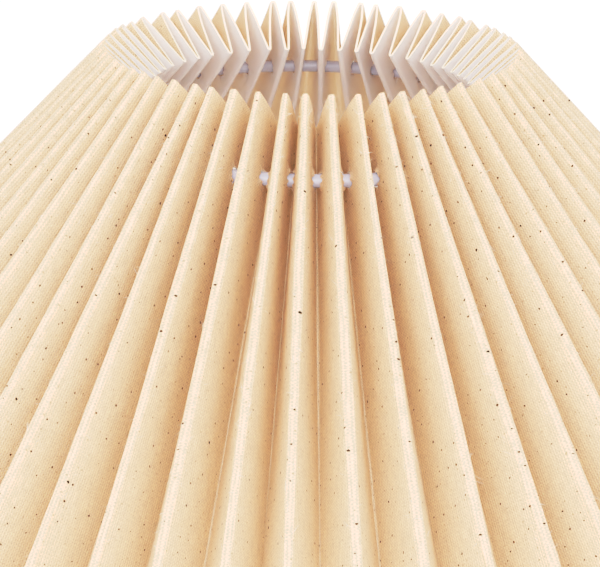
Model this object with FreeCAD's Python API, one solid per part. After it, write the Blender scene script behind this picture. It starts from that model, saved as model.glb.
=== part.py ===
"""Pleated conical lamp shade on a threaded hoop, with a welded spider carrier.

Millimetres. +Z is up. The origin is the centre of the lampholder hole, on the underside of
the fitter washer, which is the face that sits on the lampholder.

Angles run anticlockwise seen from above, and 0 is the front, towards -Y.
A place on the shade is given by its angle, its slant (distance down the cone from the top
edge, along a ridge) and its depth (distance in from the ridge cone, square to it).
"""

import FreeCAD
import Part

import math
import os

# ---- driving dimensions -------------------------------------------------------------------
PLEATS_PER_SECTOR = (19, 17, 20)  # pleats between one carrier arm and the next
PLEATS_PER_PANEL = 28
SEAM_PLEAT = 14                   # the first panel starts in the valley before this pleat

RIM_RADIUS = 65.0                 # ridge line at the top edge
SLOPE = math.radians(46.0)        # of a ridge line, below the horizontal
SLANT = 195.0                     # cut height of the pleated sheet
PLEAT_WIDTH = 20.0                # fold to fold, along the sheet
FOLD_FLAT = 1.6                   # width of a fold's blunt edge

CLOTH = 0.35                      # woven outer layer
LINER = 0.35                      # plastic film that the cloth is bonded to
TAPE = 0.20                       # double-sided tape in a seam
TAB_WIDTH = 15.0                  # overlap flap at a seam
TAPE_MARGIN = 2.0                 # bare strip each side of the tape
EDGE_GAP = 0.4                    # a panel's raw edge stands this far off the next fold

HOOP_SLANT = 21.3                 # hoop centre, down from the top edge
HOOP_DEPTH = 12.5                 # hoop centre, in from the ridge cone
TUBE_RADIUS = 2.0
TUBE_BORE = 1.5
WIRE_RADIUS = 1.2
HOLE_CLEARANCE = 0.9              # punched holes stand this far off the tube
JOINT_ANGLE = 95.0                # where the hoop's ends meet, degrees
TUBE_GAP = 0.5                    # between the tube's ends
WIRE_GAP = 2.0                    # between the wire's ends
SLEEVE_LENGTH = 24.0

HOOP_RISE = 22.0                  # hoop centre above the seat face
BORE_RADIUS = 21.0                # standard 42 mm lampholder hole
WASHER_RADIUS = 28.0
WASHER_THICK = 2.0
ARM_RADIUS = 1.0
ARM_KNEE = 36.0                   # radius where an arm starts to climb
ARM_STUB = 1.0                    # extra length, cut back to the washer's round rim
ARM_BEND = 6.0                    # bend radius at the knee
HOOK_GAP = 0.05                   # between hook and tube
HOOK_END = math.radians(115.0)    # where the hook stops, from the outward horizontal
WELD_RADIUS = 3.0
BISECTIONS = 40                   # halvings when a valley's depth is worked out

# ---- derived ------------------------------------------------------------------------------
HOOP_RADIUS = RIM_RADIUS + HOOP_SLANT * math.cos(SLOPE) - HOOP_DEPTH * math.sin(SLOPE)
RIM_HEIGHT = HOOP_RISE + HOOP_SLANT * math.sin(SLOPE) + HOOP_DEPTH * math.cos(SLOPE)
SHEET = CLOTH + LINER
TAB_OFFSET = -(SHEET + TAPE)
UP = FreeCAD.Vector(0, 0, 1)
CENTRE = FreeCAD.Vector(0, 0, 0)


def ridge_angles():
    """Angle of every ridge. The arms take up equal sectors, so the pleats differ a little."""
    sector = 2 * math.pi / len(PLEATS_PER_SECTOR)
    angles = []
    for number, pleats in enumerate(PLEATS_PER_SECTOR):
        angles += [sector * (number + step / pleats) for step in range(pleats)]
    return angles


RIDGES = ridge_angles()
PLEATS = len(RIDGES)


def ridge_angle(pleat):
    """Angle of a ridge, for any whole number: pleat PLEATS is pleat 0 after a full turn."""
    turns, index = divmod(pleat, PLEATS)
    return RIDGES[index] + turns * 2 * math.pi


def valley_angle(pleat):
    """Angle of the valley just before a ridge."""
    return (ridge_angle(pleat - 1) + ridge_angle(pleat)) / 2


def place(angle, slant, depth):
    """Point of the shade at an angle, a slant and a depth."""
    radius = RIM_RADIUS + slant * math.cos(SLOPE) - depth * math.sin(SLOPE)
    height = RIM_HEIGHT - slant * math.sin(SLOPE) - depth * math.cos(SLOPE)
    return FreeCAD.Vector(radius * math.sin(angle), -radius * math.cos(angle), height)


def blunt(angle, slant, depth, side):
    """One corner of a fold's blunt edge: side -1 is the clockwise one."""
    radius = math.hypot(*place(angle, slant, depth)[:2])
    return place(angle + side * FOLD_FLAT / 2 / radius, slant, depth)


def valley_depth(pleat, slant, side):
    """Depth of the valley beside a ridge, from the flank's width: the flank is straight
    from corner to corner, so the depth is where the two corners are that far apart."""
    valley = valley_angle(pleat if side < 0 else pleat + 1)
    corner = blunt(ridge_angle(pleat), slant, 0.0, side)
    low, high = 0.0, PLEAT_WIDTH
    for _ in range(BISECTIONS):
        middle = (low + high) / 2
        if (blunt(valley, slant, middle, -side) - corner).Length < PLEAT_WIDTH - FOLD_FLAT:
            low = middle
        else:
            high = middle
    return low


def panel_rows(first_pleat):
    """The corners of one panel's outer surface along the top and bottom edges, from the
    raw edge in its first valley to the free edge of its overlap tab."""
    rows = []
    for slant in (0.0, SLANT):
        row = []
        for pleat in range(first_pleat, first_pleat + PLEATS_PER_PANEL):
            before = valley_depth(pleat, slant, -1)
            after = valley_depth(pleat, slant, 1)
            row += [
                blunt(valley_angle(pleat), slant, before, 1),
                blunt(ridge_angle(pleat), slant, 0.0, -1),
                blunt(ridge_angle(pleat), slant, 0.0, 1),
                blunt(valley_angle(pleat + 1), slant, after, -1),
            ]
        pleat = first_pleat + PLEATS_PER_PANEL
        fold = blunt(valley_angle(pleat), slant, valley_depth(pleat, slant, -1), 1)
        crest = blunt(ridge_angle(pleat), slant, 0.0, -1)
        flank = (crest - fold).normalize()
        first = (row[1] - row[0]).normalize()
        row[0] = row[0] + first * EDGE_GAP
        rows.append(row + [fold, fold + flank * TAB_WIDTH])
    return rows


def normals(rows):
    """Outward unit normal of each strip between two neighbouring corners, at both edges."""
    top, bottom = rows
    found = []
    for row in rows:
        line = []
        for index in range(len(row) - 1):
            across = row[index + 1] - row[index]
            down = (bottom[index] - top[index]) + (bottom[index + 1] - top[index + 1])
            line.append(down.cross(across).normalize())
        found.append(line)
    return found


def offset_row(row, outward, heights):
    """A row of corners moved out by a height for each strip, with mitred corners."""
    moved = [row[0] + outward[0] * heights[0]]
    for index in range(1, len(row) - 1):
        one, two = outward[index - 1], outward[index]
        cosine = one.dot(two)
        share = 1 / (1 - cosine * cosine)
        first = (heights[index - 1] - cosine * heights[index]) * share
        second = (heights[index] - cosine * heights[index - 1]) * share
        moved.append(row[index] + one * first + two * second)
    return moved + [row[-1] + outward[-1] * heights[-1]]


def ruled(a, b, c, d):
    """The twisted face whose straight sides join four corners, taken in order."""
    return Part.makeRuledSurface(Part.LineSegment(a, b).toShape(), Part.LineSegment(d, c).toShape())


def strip_solid(rows, high, low):
    """The layer of a folded sheet between two lists of heights, one height for each strip."""
    outward = normals(rows)
    outer = [offset_row(row, line, high) for row, line in zip(rows, outward)]
    inner = [offset_row(row, line, low) for row, line in zip(rows, outward)]
    faces = []
    for index in range(len(rows[0]) - 1):
        for top, bottom in (outer, inner):
            faces.append(ruled(top[index], top[index + 1], bottom[index + 1], bottom[index]))
        for over, under in zip(outer, inner):
            faces.append(ruled(over[index], over[index + 1], under[index + 1], under[index]))
    for end in (0, -1):
        faces.append(ruled(outer[0][end], outer[1][end], inner[1][end], inner[0][end]))
    shell = Part.makeShell(faces)
    shell.sewShape()
    solid = Part.Solid(shell)
    if solid.Volume < 0:
        solid.reverse()
    return solid


def hoop_part(radius, gap, bore=0.0):
    """A round bar or tube bent to the hoop's circle, with a gap between its ends."""
    turn = 2 * math.pi - gap / HOOP_RADIUS
    start = math.degrees(gap / 2 / HOOP_RADIUS) + JOINT_ANGLE - 90.0
    bar = Part.makeTorus(HOOP_RADIUS, radius, CENTRE, UP, 0, 360, math.degrees(turn))
    if bore:
        bar = bar.cut(Part.makeTorus(HOOP_RADIUS, bore, CENTRE, UP, 0, 360, 360))
    bar.rotate(CENTRE, UP, start)
    bar.translate(UP * HOOP_RISE)
    return bar


def hoop_sleeve():
    """The crimped sleeve over the wire's two ends, inside the tube."""
    turn = math.degrees(SLEEVE_LENGTH / HOOP_RADIUS)
    sleeve = Part.makeTorus(HOOP_RADIUS, TUBE_BORE, CENTRE, UP, 0, 360, turn)
    sleeve = sleeve.cut(Part.makeTorus(HOOP_RADIUS, WIRE_RADIUS, CENTRE, UP, 0, 360, 360))
    sleeve.rotate(CENTRE, UP, JOINT_ANGLE - 90.0 - turn / 2)
    sleeve.translate(UP * HOOP_RISE)
    return sleeve


def punch():
    """The ring of space that the hoop takes through every flank, with its clearance."""
    ring = Part.makeTorus(HOOP_RADIUS, TUBE_RADIUS + HOLE_CLEARANCE, CENTRE, UP, 0, 360, 360)
    ring.translate(UP * HOOP_RISE)
    return ring


def panel_layers(first_pleat):
    """Cloth and liner of one panel: the tab lies behind the next panel, past the tape."""
    rows = panel_rows(first_pleat)
    strips = len(rows[0]) - 1
    surface = [0.0] * (strips - 1) + [TAB_OFFSET]
    bond = [height - CLOTH for height in surface]
    inside = [height - SHEET for height in surface]
    hole = punch()
    return strip_solid(rows, surface, bond).cut(hole), strip_solid(rows, bond, inside).cut(hole)


def seam_tape(pleat):
    """Tape between a panel's first flank and the tab of the panel before it."""
    rows = []
    for slant in (0.0, SLANT):
        fold = blunt(valley_angle(pleat), slant, valley_depth(pleat, slant, -1), 1)
        flank = (blunt(ridge_angle(pleat), slant, 0.0, -1) - fold).normalize()
        ends = (TAPE_MARGIN, TAB_WIDTH - TAPE_MARGIN / 2)
        rows.append([fold + flank * end for end in ends])
    return strip_solid(rows, [-SHEET], [TAB_OFFSET]).cut(punch())


def fitter_washer():
    """The steel washer that the lampholder clamps."""
    washer = Part.makeCylinder(WASHER_RADIUS, WASHER_THICK)
    return washer.cut(Part.makeCylinder(BORE_RADIUS, WASHER_THICK))


def arm_path():
    """Centre line of an arm in the XZ plane: out from the washer, up from the knee, then
    under, outside and over the hoop as an open hook."""
    level = WASHER_THICK / 2
    reach = TUBE_RADIUS + HOOK_GAP + ARM_RADIUS
    run, rise = HOOP_RADIUS - ARM_KNEE, HOOP_RISE - level
    climb = math.atan2(rise, run) - math.asin(reach / math.hypot(run, rise))
    setback = ARM_BEND * math.tan(climb / 2)

    def on_hook(angle):
        across = HOOP_RADIUS + reach * math.cos(angle)
        return FreeCAD.Vector(across, 0, HOOP_RISE + reach * math.sin(angle))

    def on_bend(turned):
        across = ARM_KNEE - setback + ARM_BEND * math.sin(turned)
        return FreeCAD.Vector(across, 0, level + ARM_BEND * (1 - math.cos(turned)))

    start = FreeCAD.Vector(WASHER_RADIUS, 0, level)
    tangent = climb - math.pi / 2
    return Part.Wire([
        Part.LineSegment(start, on_bend(0)).toShape(),
        Part.Arc(on_bend(0), on_bend(climb / 2), on_bend(climb)).toShape(),
        Part.LineSegment(on_bend(climb), on_hook(tangent)).toShape(),
        Part.Arc(on_hook(tangent), on_hook((tangent + HOOK_END) / 2), on_hook(HOOK_END)).toShape(),
    ])


def around(shape, angle):
    """A shape made in the XZ plane, turned to an angle of the shade."""
    turned = shape.copy()
    turned.rotate(CENTRE, UP, math.degrees(angle) - 90.0)
    return turned


def carrier_arm(angle):
    """One spoke of round wire, its inner end cut to the washer's rim."""
    path = arm_path()
    start = path.Edges[0].Vertexes[0].Point
    outward = FreeCAD.Vector(1, 0, 0)
    section = Part.Wire(Part.makeCircle(ARM_RADIUS, start, outward))
    wire = path.makePipeShell([section], True, False)
    stub = Part.makeCylinder(ARM_RADIUS, ARM_STUB, start - outward * ARM_STUB, outward)
    wire = wire.fuse(stub).removeSplitter()
    wire = wire.cut(Part.makeCylinder(WASHER_RADIUS, WASHER_THICK))
    return around(wire, angle)


def weld_beads(arms):
    """Fillets of weld in the corners between each arm and the washer's rim."""
    level = FreeCAD.Vector(WASHER_RADIUS, 0, 0)
    beads = []
    for angle, arm in arms:
        puddle = around(Part.makeCylinder(WELD_RADIUS, WASHER_THICK, level), angle)
        bead = puddle.cut(Part.makeCylinder(WASHER_RADIUS, WASHER_THICK)).cut(arm)
        beads += bead.Solids
    return Part.makeCompound(beads)


def export(shape, node):
    """Write one node, and stop if it isn't made of sound closed solids."""
    if not shape.isValid() or not shape.Solids or shape.Volume <= 0:
        raise ValueError(f"{node} is not a sound solid")
    shape.exportStep(f"parts/{node}.step")
    print(f"{node}: {len(shape.Solids)} solid, {shape.Volume:.0f} mm3")


def main():
    os.makedirs("parts", exist_ok=True)

    opposite = SEAM_PLEAT + PLEATS_PER_PANEL
    for side, pleat in (("back", SEAM_PLEAT), ("front", opposite)):
        cloth, liner = panel_layers(pleat)
        export(cloth, f"fabric_panel_{side}")
        export(liner, f"liner_panel_{side}")
    export(seam_tape(SEAM_PLEAT), "seam_tape_right")
    export(seam_tape(opposite), "seam_tape_left")

    export(hoop_part(TUBE_RADIUS, TUBE_GAP, TUBE_BORE), "hoop_tube")
    export(hoop_part(WIRE_RADIUS, WIRE_GAP), "hoop_wire")
    export(hoop_sleeve(), "hoop_sleeve")

    export(fitter_washer(), "fitter_washer")
    sector = 2 * math.pi / len(PLEATS_PER_SECTOR)
    names = ("front", "right", "left")
    arms = [(number * sector, carrier_arm(number * sector)) for number in range(len(names))]
    for name, (_, arm) in zip(names, arms):
        export(arm, f"carrier_arm_{name}")
    export(weld_beads(arms), "weld_beads")


main()
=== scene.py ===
"""Looks of the pleated lamp shade: bonded fabric and film panels, hoop and carrier.

Metres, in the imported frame: +Z is up, -Y is the front, the origin is at the fitter washer.

A place on the folded sheet is given by its flank, its distance across that flank, its slant
(distance down from the top edge) and its height off the bond between fabric and film.
Fold 2i is the valley before pleat i, fold 2i + 1 is its ridge, and flank k runs from fold k
to fold k + 1. Angles run anticlockwise from the front, seen from above.
"""

import math

import bpy
import numpy as np
from mathutils import Matrix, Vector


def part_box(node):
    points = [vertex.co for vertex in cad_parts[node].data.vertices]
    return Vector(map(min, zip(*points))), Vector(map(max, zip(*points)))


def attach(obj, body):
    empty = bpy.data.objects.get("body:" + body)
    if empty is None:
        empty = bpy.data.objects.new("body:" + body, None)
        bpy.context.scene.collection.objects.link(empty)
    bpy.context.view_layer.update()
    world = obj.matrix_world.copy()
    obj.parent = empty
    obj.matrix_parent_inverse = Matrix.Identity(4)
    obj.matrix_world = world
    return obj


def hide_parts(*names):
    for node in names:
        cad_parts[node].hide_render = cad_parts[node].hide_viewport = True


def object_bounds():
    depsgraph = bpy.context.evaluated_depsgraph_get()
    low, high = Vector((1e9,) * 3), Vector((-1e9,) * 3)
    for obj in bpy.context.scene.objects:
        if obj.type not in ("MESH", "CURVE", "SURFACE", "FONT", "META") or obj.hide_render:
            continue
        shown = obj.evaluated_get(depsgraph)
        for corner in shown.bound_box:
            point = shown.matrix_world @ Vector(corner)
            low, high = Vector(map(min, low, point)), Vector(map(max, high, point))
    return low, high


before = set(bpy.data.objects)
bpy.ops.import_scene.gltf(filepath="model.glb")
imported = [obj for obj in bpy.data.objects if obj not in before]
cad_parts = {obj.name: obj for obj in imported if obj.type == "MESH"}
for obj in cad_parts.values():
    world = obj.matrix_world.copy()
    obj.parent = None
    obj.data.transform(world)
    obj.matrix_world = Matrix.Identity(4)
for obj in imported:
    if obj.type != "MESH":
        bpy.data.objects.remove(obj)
cad_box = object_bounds()

MM = 0.001

# ---- the folded sheet ---------------------------------------------------------------------
PLEATS_PER_SECTOR = (19, 17, 20)   # pleats between one carrier arm and the next
PLEATS = sum(PLEATS_PER_SECTOR)
FOLDS = 2 * PLEATS
FLANKS_PER_PANEL = 56
SEAM_PLEAT = 14                    # the back panel starts in the valley before this pleat
SLOPE = math.radians(46.0)
SLANT = 195.0 * MM
PLEAT_WIDTH = 20.0 * MM
CLOTH = 0.35 * MM
FILM = 0.35 * MM
BOND_GAP = 0.01 * MM
TAB_WIDTH = 15.0 * MM
TAPE = 0.20 * MM
TAB_OFFSET = -(CLOTH + FILM + TAPE)
# Each pair is for the top and bottom edges. The radii are those of the bond line round a fold.
RIDGE_RADIUS = (0.65 * MM, 1.5 * MM)
VALLEY_RADIUS = (0.50 * MM, 0.65 * MM)
SWELL = (0.35 * MM, 0.5 * MM)        # how far a flank bows outward
SWELL_LEAN = 0.6                     # puts the widest part of the bow nearer the ridge
BLUNT = 0.2                          # how far a ridge's corners stand out past a circle

# ---- the hoop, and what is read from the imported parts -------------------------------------
TUBE_RADIUS = 2.0 * MM
HOLE_GAP = 0.45 * MM               # between the tube and the torn edge of a hole
HOLE_SHIFT = 0.1 * MM              # the hoop rests near the end of each hole by the valley
hoop_low, hoop_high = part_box("hoop_tube")
HOOP_RADIUS = (hoop_high[0] - hoop_low[0]) / 2 - TUBE_RADIUS
HOOP_HEIGHT = (hoop_high[2] + hoop_low[2]) / 2
RIM_RADIUS = 65.0 * MM
RIM_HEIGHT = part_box("fabric_panel_front")[1][2]

# ---- hand-made unevenness -----------------------------------------------------------------
SEED = 7
RIM_SPREAD = 0.16                  # of the pleats' shares of a sector at the top edge
SHARE_LIMITS = (0.55, 1.6)
HEM_SCATTER = math.radians(0.22)
SHIFT_LIMIT = 1.6                  # in units of the scatter
SETTLE = 60.0 * MM                 # slant over which the spacing evens out
WAVE = 0.12 * MM                   # slow ripple of the flanks
# Each wave of the ripple: how many go round the shade, the phase it gains down the slant,
# its first phase and its share of the size.
RIPPLES = ((37, 3.1, 0.0, 1.0), (58, -7.3, 1.0, 1.0), (23, 17.0, 2.0, 0.6))


def unit(vectors):
    """Vectors scaled to length one."""
    return vectors / np.linalg.norm(vectors, axis=-1, keepdims=True)


def ridge_angles(spread):
    """Angle of every ridge. The arms take up equal sectors, and within each sector the
    pleats' shares are uneven by a spread."""
    sector = 2 * math.pi / len(PLEATS_PER_SECTOR)
    angles = []
    for number, pleats in enumerate(PLEATS_PER_SECTOR):
        shares = np.random.default_rng((SEED, number)).normal(1.0, spread, pleats)
        shares = np.clip(shares, *SHARE_LIMITS)
        starts = np.concatenate([[0.0], np.cumsum(shares)[:-1]])
        angles += list(sector * (number + starts / shares.sum()))
    return np.array(angles)


def small_shifts(spread):
    """Random angles for the ridges, with none at the three that hold an arm's hook."""
    limit = SHIFT_LIMIT * spread
    angles = np.clip(RNG.normal(0.0, spread, PLEATS), -limit, limit)
    for start in np.cumsum((0,) + PLEATS_PER_SECTOR[:-1]):
        angles[start] = 0.0
    return angles


RNG = np.random.default_rng(SEED)
RIM_RIDGES = ridge_angles(RIM_SPREAD)
HEM_RIDGES = ridge_angles(0.0) + small_shifts(HEM_SCATTER)


def between_edges(pair, slant):
    """A value that changes evenly from the top edge to the bottom edge."""
    top, bottom = pair
    return top + (bottom - top) * slant / SLANT


def fold_radius(fold, slant):
    """Radius of the bond line round a fold."""
    ridge, valley = between_edges(RIDGE_RADIUS, slant), between_edges(VALLEY_RADIUS, slant)
    return np.where(fold % 2 == 1, ridge, valley)


def ridge_angle(pleat, slant):
    """Angle of a ridge at a slant, for any whole number of pleats."""
    turns, index = np.divmod(pleat, PLEATS)
    fade = np.exp(-slant / SETTLE)
    return turns * 2 * math.pi + RIM_RIDGES[index] * fade + HEM_RIDGES[index] * (1 - fade)


def fold_angle(fold, slant):
    """Angle of a fold: a valley lies midway between its two ridges."""
    own = ridge_angle(fold // 2, slant)
    before = ridge_angle(fold // 2 - 1, slant)
    return np.where(fold % 2 == 1, own, (own + before) / 2)


def place(angle, slant, depth):
    """Point at an angle, a slant and a depth in from the cone that the ridges touch."""
    radius = RIM_RADIUS + slant * math.cos(SLOPE) - depth * math.sin(SLOPE)
    height = RIM_HEIGHT - slant * math.sin(SLOPE) - depth * math.cos(SLOPE)
    return np.stack([radius * np.sin(angle), -radius * np.cos(angle), height], axis=-1)


def cone_normal(angle):
    """Outward normal of the ridge cone."""
    side, up = math.sin(SLOPE), math.cos(SLOPE)
    return np.stack([side * np.sin(angle), -side * np.cos(angle), up + 0 * angle], axis=-1)


def down(angle):
    """Direction of a ridge line, away from the top edge."""
    out, fall = math.cos(SLOPE), math.sin(SLOPE)
    return np.stack([out * np.sin(angle), -out * np.cos(angle), -fall + 0 * angle], axis=-1)


def straight_normal(start, end, start_is_ridge, middle_angle, slant):
    """Outward normal of the straight part of a flank, which touches the circles of the two
    folds at its ends on opposite sides."""
    both_radii = fold_radius(0, slant) + fold_radius(1, slant)
    across = end - start
    length = np.linalg.norm(across, axis=-1, keepdims=True)
    across = across / length
    level = unit(np.cross(down(middle_angle), across))
    tilt = both_radii[..., None] / length
    sign = np.where(start_is_ridge, 1.0, -1.0)[..., None]
    return level * np.sqrt(1 - tilt * tilt) + across * tilt * sign


STATIONS = np.linspace(0.0, SLANT, 40)   # slants at which the valleys' depths are solved
HALVINGS = 30


def solve_valleys():
    """Depth of every valley's circle at every station, so that each flank keeps its width
    from fold to fold."""
    valleys = np.arange(0, FOLDS, 2)[:, None] + np.zeros(len(STATIONS), int)
    slant = STATIONS[None, :] + np.zeros(valleys.shape)
    ridge_radius, valley_radius = fold_radius(1, slant), fold_radius(0, slant)
    middle = fold_angle(valleys, slant)
    low = np.full(valleys.shape, 0.5 * PLEAT_WIDTH)
    high = np.full(valleys.shape, PLEAT_WIDTH)
    for _ in range(HALVINGS):
        depth = (low + high) / 2
        valley = place(middle, slant, depth)
        width = 0.0
        for step in (-1, 1):
            angle = fold_angle(valleys + step, slant)
            ridge = place(angle, slant, ridge_radius + CLOTH)
            start, end = (ridge, valley) if step < 0 else (valley, ridge)
            normal = straight_normal(start, end, step < 0, (middle + angle) / 2, slant)
            gap = np.linalg.norm(ridge - valley, axis=-1)
            straight = np.sqrt(gap * gap - (ridge_radius + valley_radius) ** 2)
            for centre_angle, radius in ((middle, valley_radius), (angle, ridge_radius)):
                turn = np.arccos(np.clip((normal * cone_normal(centre_angle)).sum(-1), -1, 1))
                straight = straight + radius * turn
            width = width + straight / 2
        low = np.where(width < PLEAT_WIDTH, depth, low)
        high = np.where(width < PLEAT_WIDTH, high, depth)
    return low


VALLEY_DEPTHS = solve_valleys()


def fold_centre(fold, slant):
    """Centre of a fold's circle."""
    at = np.clip(slant / SLANT, 0, 1) * (len(STATIONS) - 1)
    first = np.minimum(at.astype(int), len(STATIONS) - 2)
    share = at - first
    row = (fold // 2) % PLEATS
    valley = VALLEY_DEPTHS[row, first] * (1 - share) + VALLEY_DEPTHS[row, first + 1] * share
    depth = np.where(fold % 2 == 1, fold_radius(1, slant) + CLOTH, valley)
    return place(fold_angle(fold, slant), slant, depth)


def flank_normal(flank, slant):
    """Outward normal of a flank's straight part."""
    middle = (fold_angle(flank, slant) + fold_angle(flank + 1, slant)) / 2
    start, end = fold_centre(flank, slant), fold_centre(flank + 1, slant)
    return straight_normal(start, end, flank % 2 == 1, middle, slant)


def blunted(radius, fold, share):
    """Radius part of the way round half a fold: a ridge is squarer than a circle."""
    corner = np.where(fold % 2 == 1, BLUNT, 0.0) * np.sin(math.pi * share) ** 2
    return radius * (1 + corner)[..., None]


def turned(first, second, share):
    """Unit vectors part of the way from the first to the second, round the arc."""
    angle = np.arccos(np.clip((first * second).sum(-1), -1, 1))[..., None]
    angle = np.maximum(angle, 1e-6)
    share = share[..., None]
    return (np.sin((1 - share) * angle) * first + np.sin(share * angle) * second) / np.sin(angle)


def ripple(flank, across, slant):
    """Slow unevenness of the flanks, the same on both layers and across the seams."""
    turn = 2 * math.pi * (flank + across / PLEAT_WIDTH) / FOLDS
    rise = slant / SLANT
    return WAVE * sum(
        size * np.sin(count * turn + gain * rise + start) for count, gain, start, size in RIPPLES
    )


def swell(flank, across, slant):
    """Outward bow of a flank, largest about a third of the way from its ridge."""
    from_ridge = np.where(flank % 2 == 1, across, PLEAT_WIDTH - across) / PLEAT_WIDTH
    shape = np.sin(math.pi * np.clip(from_ridge, 0, 1) ** SWELL_LEAN) ** 2
    return between_edges(SWELL, slant) * shape


def sheet_point(flank, across, slant, height):
    """Point of the sheet, at a height off its bond line."""
    start, end = fold_centre(flank, slant), fold_centre(flank + 1, slant)
    own = flank_normal(flank, slant)
    first = unit(flank_normal(flank - 1, slant) + own)
    last = unit(own + flank_normal(flank + 1, slant))
    start_radius = fold_radius(flank, slant)[..., None]
    end_radius = fold_radius(flank + 1, slant)[..., None]
    side = np.where(flank % 2 == 1, 1.0, -1.0)[..., None]

    start_turn = np.arccos(np.clip((first * own).sum(-1), -1, 1))[..., None]
    end_turn = np.arccos(np.clip((last * own).sum(-1), -1, 1))[..., None]
    start_touch = start + side * start_radius * own
    end_touch = end - side * end_radius * own
    straight = np.linalg.norm(end_touch - start_touch, axis=-1, keepdims=True)
    start_arc, end_arc = start_radius * start_turn, end_radius * end_turn
    along = across[..., None] / PLEAT_WIDTH * (start_arc + straight + end_arc)

    in_start = np.clip(along / np.maximum(start_arc, 1e-9), 0, 1)[..., 0]
    in_end = np.clip((along - start_arc - straight) / np.maximum(end_arc, 1e-9), 0, 1)[..., 0]
    share = np.clip((along - start_arc) / straight, 0, 1)
    start_normal = turned(first, own, in_start)
    end_normal = turned(own, last, in_end)
    at_start = (in_start < 1)[..., None]
    at_end = (in_end > 0)[..., None]
    normal = np.where(at_start, start_normal, np.where(at_end, end_normal, own))
    point = start_touch * (1 - share) + end_touch * share
    start_reach = blunted(start_radius, flank, in_start)
    end_reach = blunted(end_radius, flank + 1, in_end)
    point = np.where(at_start, start + side * start_reach * start_normal, point)
    point = np.where(at_end, end - side * end_reach * end_normal, point)
    lift = (height + ripple(flank, across, slant) + swell(flank, across, slant))[..., None]
    return point + lift * normal


HOLE_GUESS = (7.0 * MM, 21.0 * MM)  # distance from the valley and slant, to start the search
SEARCH_ROUNDS = 8
NUDGE = 0.01 * MM                  # small step along the sheet, for its slope at a place


def hole_centres(flanks, heights):
    """Where the hoop's centre line goes through each flank, across it and down it."""
    from_valley, from_rim = HOLE_GUESS
    across = np.where(flanks % 2 == 0, from_valley, PLEAT_WIDTH - from_valley)
    slant = np.full(len(flanks), from_rim)

    def miss(across, slant):
        point = sheet_point(flanks, across, slant, heights)
        return np.hypot(point[:, 0], point[:, 1]) - HOOP_RADIUS, point[:, 2] - HOOP_HEIGHT

    for _ in range(SEARCH_ROUNDS):
        out, up = miss(across, slant)
        out_a, up_a = miss(across + NUDGE, slant)
        out_s, up_s = miss(across, slant + NUDGE)
        a, b = (out_a - out) / NUDGE, (out_s - out) / NUDGE
        c, d = (up_a - up) / NUDGE, (up_s - up) / NUDGE
        det = a * d - b * c
        across = across - (d * out - b * up) / det
        slant = slant - (a * up - c * out) / det
    return across, slant


# Distances from a valley fold, and the two between which the punched hole lies.
VALLEY_COLUMNS = (0, 0.35, 0.7, 1.1, 1.8)
RIDGE_COLUMNS = (13.4, 15.0, 17.2, 18.5, 19.2, 19.6, 20.0)
COLUMNS = np.concatenate([VALLEY_COLUMNS, np.linspace(3.0, 11.4, 11), RIDGE_COLUMNS]) * MM
HOLE_COLUMNS = (5, 15)
TAB_COLUMNS = 18                   # the columns up to the tab's width
# Slants of the rows, and the two between which the holes lie.
TOP_ROWS = (0, 1.2, 4, 8, 12)
LOW_ROWS = np.linspace(32.0, 195.0, 20)
ROWS = np.concatenate([TOP_ROWS, np.linspace(16.0, 26.6, 12), LOW_ROWS]) * MM
HOLE_ROWS = (5, 16)
# Each ring round a hole: its share of the way to the block's border, and its share of the curl.
HOLE_RINGS = ((0.0, 1.0), (0.25, 0.35), (0.6, 0.0))
# Waves round a torn edge, as a number round the hole and a size.
HOLE_WAVES = ((3, 0.03), (5, 0.04), (9, 0.05), (14, 0.04))
CURL_WAVES = ((2, 0.35), (4, 0.3), (7, 0.3))
CURL = 0.9 * MM                    # the most that the torn cloth stands up
CURL_MEAN = 0.4                    # as a share of the most


def waves_round(turns, waves):
    """Uneven waves round a hole, each with its own random start."""
    starts = RNG.uniform(0, 2 * math.pi, len(waves))
    return sum(size * np.sin(count * turns + start) for (count, size), start in zip(waves, starts))


def hole_edge(flank, middle, level, height, turns):
    """Distance of a torn hole's edge from its centre, in given directions. The hole fits
    the slanting cut that the sheet makes through the tube."""
    here, beside, below = sheet_point(
        np.full(3, flank),
        middle + np.array([0.0, NUDGE, 0.0]),
        level + np.array([0.0, 0.0, NUDGE]),
        np.full(3, height),
    )
    hoop_way = unit(np.array([-here[1], here[0], 0.0]))
    ways = unit(
        np.cos(turns)[:, None] * unit(beside - here) + np.sin(turns)[:, None] * unit(below - here)
    )
    stretch = 1 / np.sqrt(1 - (ways @ hoop_way) ** 2)
    return (TUBE_RADIUS + HOLE_GAP) * stretch * (1 + waves_round(turns, HOLE_WAVES))


def hole_loop(start, end):
    """Grid places round the block between two columns that a hole takes the middle of."""
    top, bottom = HOLE_ROWS
    loop = [(start, row) for row in range(top, bottom)]
    loop += [(column, bottom) for column in range(start, end)]
    loop += [(end, row) for row in range(bottom, top, -1)]
    loop += [(column, top) for column in range(end, start, -1)]
    return loop


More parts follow.
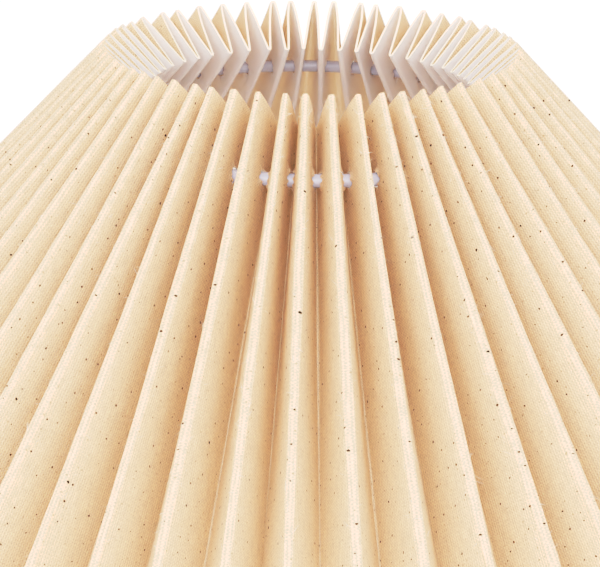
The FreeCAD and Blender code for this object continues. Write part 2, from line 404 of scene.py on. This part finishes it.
def panel_plan(first_fold):
    """One panel laid flat: its points (flank, across, slant, curl) and its four-sided faces."""
    columns, blocks = [], []
    for step in range(FLANKS_PER_PANEL + 1):
        flank = first_fold + step
        across = COLUMNS if step < FLANKS_PER_PANEL else COLUMNS[:TAB_COLUMNS]
        start, end = HOLE_COLUMNS
        if flank % 2 == 1:
            across = PLEAT_WIDTH - across[::-1]
            start, end = len(COLUMNS) - 1 - end, len(COLUMNS) - 1 - start
        # A flank's first column lies on the last one of the flank before.
        first = len(columns) - 1
        blocks.append((first + start, first + end))
        columns += [(flank, value) for value in across[1:]]

    rows = len(ROWS)
    points = [(flank, across, slant, 0.0) for flank, across in columns for slant in ROWS]
    missing = np.zeros((len(columns), rows), bool)
    for start, end in blocks:
        missing[start:end, HOLE_ROWS[0]:HOLE_ROWS[1]] = True
    faces = []
    for column in range(len(columns) - 1):
        for row in range(rows - 1):
            if not missing[column, row]:
                corner = column * rows + row
                faces.append((corner, corner + 1, corner + rows + 1, corner + rows))

    flanks = first_fold + np.arange(FLANKS_PER_PANEL + 1)
    heights = np.where(flanks < first_fold + FLANKS_PER_PANEL, 0.0, TAB_OFFSET)
    centre_across, centre_slant = hole_centres(flanks, heights)
    centre_across = centre_across + np.where(flanks % 2 == 0, HOLE_SHIFT, -HOLE_SHIFT)
    for (start, end), flank, middle, level, height in zip(
        blocks, flanks, centre_across, centre_slant, heights
    ):
        outer = [column * rows + row for column, row in hole_loop(start, end)]
        around = np.array([points[corner] for corner in outer])
        # A block's first column may belong to the flank before, at its far edge.
        dx = around[:, 1] - PLEAT_WIDTH * (flank - around[:, 0]) - middle
        dy = around[:, 2] - level
        turns = np.arctan2(dy, dx)
        edge = hole_edge(flank, middle, level, height, turns)
        edge_x, edge_y = edge * np.cos(turns), edge * np.sin(turns)
        frayed = CURL * np.clip(CURL_MEAN + waves_round(turns, CURL_WAVES), 0, 1)
        rings = []
        for share, curl in HOLE_RINGS:
            rings.append(list(range(len(points), len(points) + len(outer))))
            ring_x = middle + edge_x + (dx - edge_x) * share
            ring_y = level + edge_y + (dy - edge_y) * share
            points += [(flank, *place_on) for place_on in zip(ring_x, ring_y, frayed * curl)]
        rings.append(outer)
        for inside, outside in zip(rings, rings[1:]):
            for here in range(len(outer)):
                after = (here + 1) % len(outer)
                faces.append((inside[here], inside[after], outside[after], outside[here]))

    points, faces = np.array(points), np.array(faces)
    used = np.unique(faces)
    renumber = np.full(len(points), -1)
    renumber[used] = np.arange(len(used))
    return points[used], renumber[faces]


TAB_STEP = 3.0 * MM                # width over which a sheet steps back to its tab
SHARP = math.radians(50)


def tab_share(flank, across, first_fold):
    """How far the sheet has stepped back behind the next panel: 0 on the panel, 1 on its tab."""
    past = (flank - first_fold - FLANKS_PER_PANEL) * PLEAT_WIDTH + across
    share = np.clip((past + TAB_STEP / 2) / TAB_STEP, 0, 1)
    return share * share * (3 - 2 * share)


def layer(name, plan, first_fold, high, low, materials):
    """A closed thin layer of one panel, between two heights off the bond line. Its materials
    are those of the open side, the bonded side and the cut edges."""
    points, faces = plan
    flank, across, slant = points[:, 0].astype(int), points[:, 1], points[:, 2]
    step = TAB_OFFSET * tab_share(flank, across, first_fold) + points[:, 3]
    upper = sheet_point(flank, across, slant, high + step)
    lower = sheet_point(flank, across, slant, low + step)
    count = len(points)

    corners = np.stack([faces, np.roll(faces, -1, axis=1)], axis=-1).reshape(-1, 2)
    keys = np.sort(corners, axis=1)
    _, where, uses = np.unique(keys, axis=0, return_inverse=True, return_counts=True)
    border = corners[uses[where.ravel()] == 1]
    walls = np.stack([border[:, 1], border[:, 0], border[:, 0] + count, border[:, 1] + count], axis=1)
    all_faces = np.concatenate([faces, faces[:, ::-1] + count, walls])

    mesh = bpy.data.meshes.new(name)
    mesh.from_pydata(np.concatenate([upper, lower]).tolist(), [], all_faces.tolist())
    uv = mesh.uv_layers.new(name="flat")
    flat = np.stack([(flank - first_fold) * PLEAT_WIDTH + across, slant], axis=1)
    flat = np.concatenate([flat, flat])
    corner = np.empty(len(mesh.loops), np.int32)
    mesh.loops.foreach_get("vertex_index", corner)
    uv.data.foreach_set("uv", flat[corner].astype(np.float32).ravel())

    slots = np.zeros(len(all_faces), np.int32)
    bond_side = slice(len(faces), 2 * len(faces)) if low >= -BOND_GAP else slice(0, len(faces))
    slots[bond_side] = 1
    slots[2 * len(faces):] = 2
    mesh.polygons.foreach_set("material_index", slots)
    mesh.shade_smooth()
    mesh.set_sharp_from_angle(angle=SHARP)
    mesh.update()
    for material in materials:
        mesh.materials.append(material)
    piece = bpy.data.objects.new(name, mesh)
    bpy.context.scene.collection.objects.link(piece)
    return piece


TAPE_MARGINS = (2.0 * MM, 1.0 * MM)   # from the seam's fold and from the tab's edge
TAPE_COLUMNS = 9
TAPE_ROWS = 60
TAPE_HOLE_GAP = 2.4 * MM


def seam_strip(name, seam_fold, material):
    """The tape between a panel's first flank and the tab that lies behind it."""
    across = np.linspace(TAPE_MARGINS[0], TAB_WIDTH - TAPE_MARGINS[1], TAPE_COLUMNS)
    slant = np.linspace(0.0, SLANT, TAPE_ROWS)
    grid_a, grid_s = [g.ravel() for g in np.meshgrid(across, slant, indexing="ij")]
    flank = np.full(len(grid_a), seam_fold)
    (middle,), (level,) = hole_centres(np.array([seam_fold]), np.array([-FILM - TAPE / 2]))
    faces = []
    for column in range(TAPE_COLUMNS - 1):
        for row in range(TAPE_ROWS - 1):
            centre_a = (across[column] + across[column + 1]) / 2
            centre_s = (slant[row] + slant[row + 1]) / 2
            if math.hypot(centre_a - middle, centre_s - level) > TUBE_RADIUS + TAPE_HOLE_GAP:
                corner = column * TAPE_ROWS + row
                faces.append((corner, corner + 1, corner + TAPE_ROWS + 1, corner + TAPE_ROWS))
    plan = np.stack([flank, grid_a, grid_s, 0 * grid_a], axis=1), np.array(faces)
    return layer(name, plan, seam_fold, -FILM, -FILM - TAPE, [material] * 3)


LINT_PER_RIDGE = 110
LINT_SPREAD = 2.6 * MM             # how far from the ridge line the fibres start
LINT_MARGIN = 0.5 * MM             # bare length of a ridge at its two ends
LINT_CROWDING = 1.5                # over 1 puts more of the fibres near the top edge
LINT_RADIUS = 0.04 * MM
LINT_TAPER = 0.6
LINT_STAND = 0.3                   # how much a fibre points outward
LINT_BEND = 0.4
LINT_LENGTH = (0.6 * MM, 1.9 * MM)
LINT_SIDES = 3
LINT_STEPS = (0.0, 0.5, 1.0)       # shares of a fibre's length


def lint(name, first_pleat, material):
    """Short loose fibres that stand along the ridges of one panel."""
    count = PLEATS // 2 * LINT_PER_RIDGE
    pleat = first_pleat + np.arange(count) // LINT_PER_RIDGE
    flank = 2 * pleat + RNG.integers(0, 2, count)
    from_ridge = RNG.uniform(0, LINT_SPREAD, count)
    across = np.where(flank % 2 == 1, from_ridge, PLEAT_WIDTH - from_ridge)
    slant = LINT_MARGIN + (SLANT - 2 * LINT_MARGIN) * RNG.uniform(0, 1, count) ** LINT_CROWDING
    root = sheet_point(flank, across, slant, CLOTH - LINT_RADIUS)

    angle = fold_angle(2 * pleat + 1, slant)
    out, along = cone_normal(angle), down(angle)
    beside = np.cross(out, along)
    turn = RNG.uniform(0, 2 * math.pi, count)[:, None]
    way = unit(LINT_STAND * out + np.cos(turn) * along + np.sin(turn) * beside)
    bend = unit(RNG.normal(0, 1, (count, 3)))
    length = RNG.uniform(*LINT_LENGTH, count)[:, None]
    first = unit(np.cross(way, bend))
    second = np.cross(way, first)

    rings = []
    for share in LINT_STEPS:
        centre = root + length * (share * way + LINT_BEND * share * share * bend)
        thickness = LINT_RADIUS * (1 - LINT_TAPER * share)
        for side in range(LINT_SIDES):
            corner = 2 * math.pi * side / LINT_SIDES
            rings.append(centre + thickness * (math.cos(corner) * first + math.sin(corner) * second))
    points = np.stack(rings, axis=1).reshape(-1, 3)

    own_faces = [list(range(LINT_SIDES))[::-1]]
    for step in range(len(LINT_STEPS) - 1):
        for side in range(LINT_SIDES):
            here, after = step * LINT_SIDES + side, step * LINT_SIDES + (side + 1) % LINT_SIDES
            own_faces.append([here, after, after + LINT_SIDES, here + LINT_SIDES])
    own_faces.append([corner + LINT_SIDES * (len(LINT_STEPS) - 1) for corner in range(LINT_SIDES)])
    per_fibre = LINT_SIDES * len(LINT_STEPS)
    faces = [
        [corner + per_fibre * fibre for corner in face] for fibre in range(count) for face in own_faces
    ]

    mesh = bpy.data.meshes.new(name)
    mesh.from_pydata(points.tolist(), [], faces)
    mesh.update()
    mesh.materials.append(material)
    piece = bpy.data.objects.new(name, mesh)
    bpy.context.scene.collection.objects.link(piece)
    return piece


# ---- materials ----------------------------------------------------------------------------
THREAD = 0.50 * MM
THREAD_BEND = 1.2 * MM
RIB = 2 * math.pi / (0.85 * MM)      # waves of the ribs, in radians per metre
CROSSING_HEIGHT = 0.28
RIB_HEIGHT = 0.22
# Each shading is a factor on the colour: its change from low to high, and its value at low. The weave's
# is painted shade, darker where the weave is low; the threads' and the grit's are the yarns' own uneven
# tone.
WEAVE_PAINTED_SHADE = (0.40, 0.78)
THREAD_SHADING = (-1.00, 1.48)
GRIT_SHADING = (-0.45, 1.21)
FABRIC_PALE = (0.985, 0.83, 0.645)
FABRIC_DEEP = (0.975, 0.775, 0.56)
FABRIC_GLOW = (1.0, 0.83, 0.55)      # tint of the light that comes through the fabric
FABRIC_THROUGH = 0.5                 # share of the light that goes through
FILM_PALE = (0.98, 0.965, 0.985)
FILM_DEEP = (0.955, 0.935, 0.955)
FILM_THROUGH = 0.30
# Seed flecks: cell, size, share of cells that have one, seed, strength and colour.
FLECKS = (
    (4.0 * MM, 0.30 * MM, 0.75, 3.0, 0.50, (0.42, 0.25, 0.12)),
    (5.2 * MM, 0.34 * MM, 0.6, 11.0, 0.97, (0.08, 0.035, 0.015)),
    (18.0 * MM, 0.44 * MM, 0.5, 29.0, 1.0, (0.04, 0.02, 0.01)),
)
SPECK_REACH = (0.75, 0.35)           # how much the specks' radius varies, and the least radius
SPECK_WOBBLE = 1.6                   # in units of the speck's size
SPECK_RAGGED = 0.8
SPECK_FADE = 0.25
BOND_SCATTER = 0.1                   # share of the light that a bond face scatters


class Tree:
    """A short way to write a node tree. A value for a slot is a number or a linked output."""

    def __init__(self, tree):
        self.tree = tree
        self.tree.nodes.clear()

    def add(self, kind, values=(), **settings):
        node = self.tree.nodes.new(f"ShaderNode{kind}")
        for key, value in settings.items():
            setattr(node, key, value)
        for slot, value in dict(values).items():
            if isinstance(value, bpy.types.NodeSocket):
                self.tree.links.new(value, node.inputs[slot])
            elif isinstance(value, tuple) and node.inputs[slot].type == "RGBA":
                node.inputs[slot].default_value = (*value, 1.0)
            else:
                node.inputs[slot].default_value = value
        return node

    def math(self, operation, *values, clamp=False):
        return self.add("Math", dict(enumerate(values)), operation=operation, use_clamp=clamp).outputs[0]

    def mix(self, share, first, second, blend="MIX"):
        values = {0: share, 6: first, 7: second}
        return self.add("Mix", values, data_type="RGBA", blend_type=blend).outputs[2]

    def shade(self, colour, level):
        """A colour made lighter or darker by a factor."""
        grey = self.add("CombineColor", {0: level, 1: level, 2: level})
        return self.mix(1.0, colour, grey.outputs[0], "MULTIPLY")

    def blend(self, share, first, second):
        """Two shaders mixed."""
        return self.add("MixShader", {0: share, 1: first.outputs[0], 2: second.outputs[0]})


class Nodes(Tree):
    """The node tree of a new material."""

    def __init__(self, name):
        self.material = bpy.data.materials.new(name)
        self.material.use_nodes = True
        super().__init__(self.material.node_tree)

    def finish(self, shader):
        self.add("OutputMaterial", {"Surface": shader.outputs[0]})
        return self.material


def flat_coordinates(nodes, across=1.0, along=1.0):
    """The sheet's own flat coordinates, stretched by two factors."""
    uv = nodes.add("UVMap", uv_map="flat")
    return nodes.add("Mapping", {"Vector": uv.outputs[0], "Scale": (across, along, 1.0)}).outputs[0]


def streaks(nodes, width, length, detail=2.0):
    """Noise whose features have a width across the slant and a length along it."""
    where = flat_coordinates(nodes, 1 / width, 1 / length)
    noise = nodes.add("TexNoise", {"Vector": where, "Scale": 1.0, "Detail": detail, "Roughness": 0.55})
    return noise.outputs["Fac"]


def specks(nodes, cell, size, share, seed):
    """Small irregular spots: 1 inside a spot. A cell has one spot, and only a share of the
    cells show theirs."""
    where = flat_coordinates(nodes, 1 / cell, 1 / cell)
    base = nodes.add("VectorMath", {0: where, 1: (seed, seed, 0.0)}, operation="ADD")
    fine = SPECK_RAGGED * cell / size
    wobble = nodes.add("TexNoise", {"Vector": base.outputs[0], "Scale": fine, "Detail": 2.0})
    around_zero = {0: wobble.outputs["Color"], 1: (0.5, 0.5, 0.5)}
    centred = nodes.add("VectorMath", around_zero, operation="SUBTRACT")
    to_size = {0: centred.outputs[0], "Scale": SPECK_WOBBLE * size / cell}
    scaled = nodes.add("VectorMath", to_size, operation="SCALE")
    moved = nodes.add("VectorMath", {0: base.outputs[0], 1: scaled.outputs[0]}, operation="ADD")
    spots = nodes.add("TexVoronoi", {"Vector": moved.outputs[0], "Scale": 1.0}, voronoi_dimensions="2D")
    chance = nodes.add("SeparateColor", {0: spots.outputs["Color"]})
    reach = nodes.math("MULTIPLY_ADD", chance.outputs[1], *SPECK_REACH)
    radius = nodes.math("MULTIPLY", reach, size / cell)
    within = nodes.math("SUBTRACT", radius, spots.outputs["Distance"])
    inside = nodes.math("DIVIDE", within, SPECK_FADE * size / cell, clamp=True)
    shown = nodes.math("LESS_THAN", chance.outputs[0], share)
    return nodes.math("MULTIPLY", inside, shown)


def weave(nodes):
    """Height of a plain weave of slightly wavy threads, ribbed down the slant, from 0 to 1."""
    uv = nodes.add("UVMap", uv_map="flat")
    parts = nodes.add("SeparateXYZ", {0: uv.outputs[0]})
    across = nodes.math("MULTIPLY_ADD", streaks(nodes, 9 * MM, 30 * MM), THREAD_BEND, parts.outputs[0])
    waves = []
    for axis, bend in ((0, streaks(nodes, 9 * MM, 5 * MM)), (1, streaks(nodes, 5 * MM, 9 * MM))):
        along = nodes.math("MULTIPLY_ADD", bend, THREAD_BEND, parts.outputs[axis])
        waves.append(nodes.math("SINE", nodes.math("MULTIPLY", along, math.pi / THREAD)))
    crossing = nodes.math("MULTIPLY_ADD", nodes.math("MULTIPLY", *waves), CROSSING_HEIGHT, 0.5)
    ribs = nodes.math("SINE", nodes.math("MULTIPLY", across, RIB))
    return nodes.math("MULTIPLY_ADD", ribs, RIB_HEIGHT, crossing)


def fabric_material():
    """Natural cotton and linen: fine weave, with painted shade where the weave is low, uneven threads,
    seed flecks dark and pale.
    """
    nodes = Nodes("shade_fabric")
    height = weave(nodes)
    warp = streaks(nodes, 0.38 * MM, 5 * MM)
    weft = streaks(nodes, 2.5 * MM, 0.38 * MM)
    grit = streaks(nodes, 0.42 * MM, 0.50 * MM)
    threads = nodes.math("MULTIPLY", nodes.math("ADD", warp, weft), 0.5)
    clouds = streaks(nodes, 18 * MM, 22 * MM, 3.0)

    colour = nodes.mix(nodes.math("MULTIPLY", clouds, 0.5), FABRIC_PALE, FABRIC_DEEP)
    # The weave's height darkens the colour where the weave is low: painted shade of the thread relief.
    for texture, shading in (
        (height, WEAVE_PAINTED_SHADE), (threads, THREAD_SHADING), (grit, GRIT_SHADING)
    ):
        colour = nodes.shade(colour, nodes.math("MULTIPLY_ADD", texture, *shading))
    through = nodes.mix(1.0, colour, FABRIC_GLOW, "MULTIPLY")

    for cell, size, share, seed, strength, tone in FLECKS:
        spot = nodes.math("MULTIPLY", specks(nodes, cell, size, share, seed), strength)
        colour = nodes.mix(spot, colour, tone)
        through = nodes.mix(spot, through, tone)

    relief = nodes.math("MULTIPLY_ADD", threads, 1.2, height)
    bump = nodes.add("Bump", {"Height": relief, "Strength": 0.9, "Distance": 0.12 * MM}).outputs[0]
    cloth = nodes.add("BsdfPrincipled", {"Base Color": colour, "Normal": bump, "Roughness": 0.92,
                                         "Sheen Weight": 0.05, "Sheen Roughness": 0.5,
                                         "Specular IOR Level": 0.15})
    light = nodes.add("BsdfTranslucent", {"Color": through, "Normal": bump})
    return nodes.finish(nodes.blend(FABRIC_THROUGH, cloth, light))


def bond_material(name, colour):
    """A face inside the bond, which lets nearly all light on through the sheet."""
    nodes = Nodes(name)
    grain = streaks(nodes, 0.8 * MM, 0.8 * MM)
    mixed = nodes.mix(grain, colour, (1.0, 1.0, 1.0))
    clear = nodes.add("BsdfTransparent", {"Color": mixed})
    glue = nodes.add("BsdfTranslucent", {"Color": mixed})
    return nodes.finish(nodes.blend(BOND_SCATTER, clear, glue))


def film_material():
    """White translucent film with a faint satin grain."""
    nodes = Nodes("liner_film")
    colour = nodes.mix(streaks(nodes, 9 * MM, 16 * MM, 3.0), FILM_DEEP, FILM_PALE)
    grain = streaks(nodes, 0.5 * MM, 0.5 * MM)
    bump = nodes.add("Bump", {"Height": grain, "Strength": 0.25, "Distance": 0.03 * MM}).outputs[0]
    film = nodes.add("BsdfPrincipled", {"Base Color": colour, "Normal": bump, "Roughness": 0.36,
                                        "Specular IOR Level": 0.45})
    light = nodes.add("BsdfTranslucent", {"Color": colour, "Normal": bump})
    return nodes.finish(nodes.blend(FILM_THROUGH, film, light))


def object_noise(nodes, scale, detail=3.0):
    """Noise in the piece's own coordinates, for pieces with no flat map."""
    where = nodes.add("TexCoord").outputs["Object"]
    noise = nodes.add("TexNoise", {"Vector": where, "Scale": scale, "Detail": detail, "Roughness": 0.6})
    return noise.outputs["Fac"]


def solid_material(name, light, dark, scale, roughness, bump_depth, settings):
    """A finish with slow colour variation, a fine grain and uneven gloss. Its scale is that
    of the slow variation, and the settings are further values of the shader."""
    nodes = Nodes(name)
    colour = nodes.mix(object_noise(nodes, scale), light, dark)
    grain = object_noise(nodes, scale * 12)
    rough = nodes.math("MULTIPLY_ADD", grain, 0.16, roughness - 0.08)
    bump = nodes.add("Bump", {"Height": grain, "Strength": 0.4, "Distance": bump_depth}).outputs[0]
    values = {"Base Color": colour, "Roughness": rough, "Normal": bump, **settings}
    return nodes.finish(nodes.add("BsdfPrincipled", values))


def dress(node, material):
    """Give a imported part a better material."""
    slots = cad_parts[node].data.materials
    slots.clear()
    slots.append(material)


# ---- build --------------------------------------------------------------------------------
def build_panels():
    """Cloth, film and loose fibres of the two panels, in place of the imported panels."""
    fabric, film = fabric_material(), film_material()
    fabric_bond = bond_material("fabric_bond", (0.99, 0.98, 0.96))
    film_bond = bond_material("film_bond", (0.99, 0.98, 0.98))
    cut = solid_material("cut_edge", (0.91, 0.78, 0.62), (0.86, 0.68, 0.48), 700, 0.9, 0.05 * MM, {})
    fibre = solid_material("lint", (0.98, 0.93, 0.86), (0.94, 0.87, 0.77), 900, 0.85, 0.01 * MM, {})
    for side, pleat in (("back", SEAM_PLEAT), ("front", SEAM_PLEAT + PLEATS // 2)):
        first_fold = 2 * pleat
        plan = panel_plan(first_fold)
        cloth = layer(f"cloth_{side}", plan, first_fold, CLOTH, BOND_GAP, [fabric, fabric_bond, cut])
        liner = layer(f"film_{side}", plan, first_fold, -BOND_GAP, -FILM, [film, film_bond, cut])
        fibres = lint(f"lint_{side}", pleat, fibre)
        for piece, slot in ((cloth, "shade_fabric"), (fibres, "shade_fabric"), (liner, "liner_film")):
            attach(piece, "root")
        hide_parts(f"fabric_panel_{side}")
        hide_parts(f"liner_panel_{side}")


def build_tapes():
    """The tapes of the two seams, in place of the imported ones."""
    tape = solid_material("seam_tape", (0.86, 0.80, 0.70), (0.80, 0.73, 0.62), 120, 0.4, 0.02 * MM, {})
    for side, pleat in (("right", SEAM_PLEAT), ("left", SEAM_PLEAT + PLEATS // 2)):
        piece = seam_strip(f"tape_{side}", 2 * pleat, tape)
        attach(piece, "root")
        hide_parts(f"seam_tape_{side}")


def dress_hardware():
    """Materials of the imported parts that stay."""
    tube = solid_material("hoop_tube", (0.58, 0.59, 0.71), (0.50, 0.51, 0.64), 60, 0.30, 0.01 * MM,
                          {"Transmission Weight": 0.10, "IOR": 1.45, "Coat Weight": 0.3})
    steel = solid_material("bright_wire", (0.62, 0.61, 0.60), (0.48, 0.47, 0.46), 200, 0.3, 0.02 * MM,
                           {"Metallic": 1.0})
    crimp = solid_material("crimped_sleeve", (0.74, 0.74, 0.75), (0.6, 0.6, 0.62), 300, 0.35, 0.03 * MM,
                           {"Metallic": 1.0})
    coat = solid_material("powder_coat", (0.86, 0.85, 0.82), (0.80, 0.785, 0.755), 90, 0.38,
                          0.04 * MM, {})
    bead = solid_material("coated_weld", (0.85, 0.84, 0.80), (0.74, 0.72, 0.68), 400, 0.42, 0.1 * MM, {})
    dress("hoop_tube", tube)
    dress("hoop_wire", steel)
    dress("hoop_sleeve", crimp)
    for node in ("fitter_washer", "carrier_arm_front", "carrier_arm_right", "carrier_arm_left"):
        dress(node, coat)
    dress("weld_beads", bead)


# ---- stage, lights and camera --------------------------------------------------------------
FLOOR_SIZE = 30.0
FLOOR_GAP = 0.5 * MM                 # below the hem, so that the two don't touch
SKY = 1.02
SKY_FALL = 0.62                      # how much dimmer the sky is at the sides, and brighter ahead
# Each light: name, place, width and power.
LIGHTS = (
    ("key", (-0.4, -1.8, 0.6), 1.2, 10.0),
    ("fill", (0.7, -1.7, 0.7), 1.2, 6.0),
)
# The camera's distance is from the middle of the top edge, and its shift is to the side.
CAMERA_DISTANCE = 11.11 * RIM_RADIUS
CAMERA_SHIFT = -0.036 * RIM_RADIUS
CAMERA_RISE = math.radians(12.86)
CAMERA_TILT = math.radians(18.83)
CAMERA_ROLL = math.radians(1.01)
CAMERA_AZIMUTH = math.radians(1.5)
SENSOR = 36.0                        # width in millimetres, as is the lens
LENS = 137.7
# Pairs of scene level and shown level, from dark to light.
TONES = ((0.12, 0.185), (0.25, 0.42), (0.45, 0.675), (0.70, 0.83), (0.90, 0.91))


def build_stage():
    """A pale floor, a soft white dome that is dimmer at the sides, and two large soft lights."""
    floor_height = cad_box[0][2] - FLOOR_GAP
    bpy.ops.mesh.primitive_plane_add(size=FLOOR_SIZE, location=(0, 0, floor_height))
    floor = bpy.context.object
    floor.name = "floor"
    nodes = Nodes("pale_floor")
    colour = nodes.mix(object_noise(nodes, 2.0), (0.985, 0.985, 0.985), (0.975, 0.975, 0.975))
    finish = {"Base Color": colour, "Roughness": 0.8, "Specular IOR Level": 0.1}
    paper = nodes.add("BsdfPrincipled", finish)
    floor.data.materials.append(nodes.finish(paper))

    world = bpy.data.worlds.new("studio")
    bpy.context.scene.world = world
    world.use_nodes = True
    sky = Tree(world.node_tree)
    way = sky.add("SeparateXYZ", {0: sky.add("TexCoord").outputs["Generated"]})
    ahead = sky.math("POWER", way.outputs["Y"], 2.0)
    aside = sky.math("POWER", way.outputs["X"], 2.0)
    level = sky.math("MULTIPLY_ADD", sky.math("SUBTRACT", ahead, aside), SKY_FALL, SKY)
    light = sky.add("Background", {"Color": (1.0, 1.0, 1.0), "Strength": level})
    sky.add("OutputWorld", {"Surface": light.outputs[0]})

    for name, place_at, size, power in LIGHTS:
        light = bpy.data.lights.new(name, "AREA")
        light.size = size
        light.energy = power
        lamp = bpy.data.objects.new(name, light)
        lamp.location = place_at
        aim = -lamp.location.normalized()
        lamp.rotation_euler = aim.to_track_quat("-Z", "Y").to_euler()
        bpy.context.scene.collection.objects.link(lamp)


def build_camera():
    """A long lens close to the top edge, looking down over it."""
    back = CAMERA_DISTANCE * math.cos(CAMERA_RISE)
    height = RIM_HEIGHT + CAMERA_DISTANCE * math.sin(CAMERA_RISE)
    data = bpy.data.cameras.new("camera")
    data.sensor_width = SENSOR
    data.lens = LENS
    data.clip_start = 0.01
    camera = bpy.data.objects.new("camera", data)
    camera.matrix_world = (
        Matrix.Rotation(CAMERA_AZIMUTH, 4, "Z")
        @ Matrix.Translation((CAMERA_SHIFT, -back, height))
        @ Matrix.Rotation(math.pi / 2 - CAMERA_TILT, 4, "X")
        @ Matrix.Rotation(CAMERA_ROLL, 4, "Z")
    )
    bpy.context.scene.collection.objects.link(camera)
    bpy.context.scene.camera = camera


def set_tones():
    """A studio photographer's curve: the middle tones lifted, the darkest held back."""
    view = bpy.context.scene.view_settings
    view.view_transform = "Standard"
    view.use_curve_mapping = True
    every_channel = view.curve_mapping.curves[3]
    for scene_level, shown_level in TONES:
        every_channel.points.new(scene_level, shown_level)
    view.curve_mapping.update()


build_panels()
build_tapes()
dress_hardware()
build_stage()
build_camera()
set_tones()

# Many bounces, because light goes through many folds one after another.
scene = bpy.context.scene
scene.cycles.max_bounces = 24
scene.cycles.diffuse_bounces = 16
scene.cycles.transmission_bounces = 24
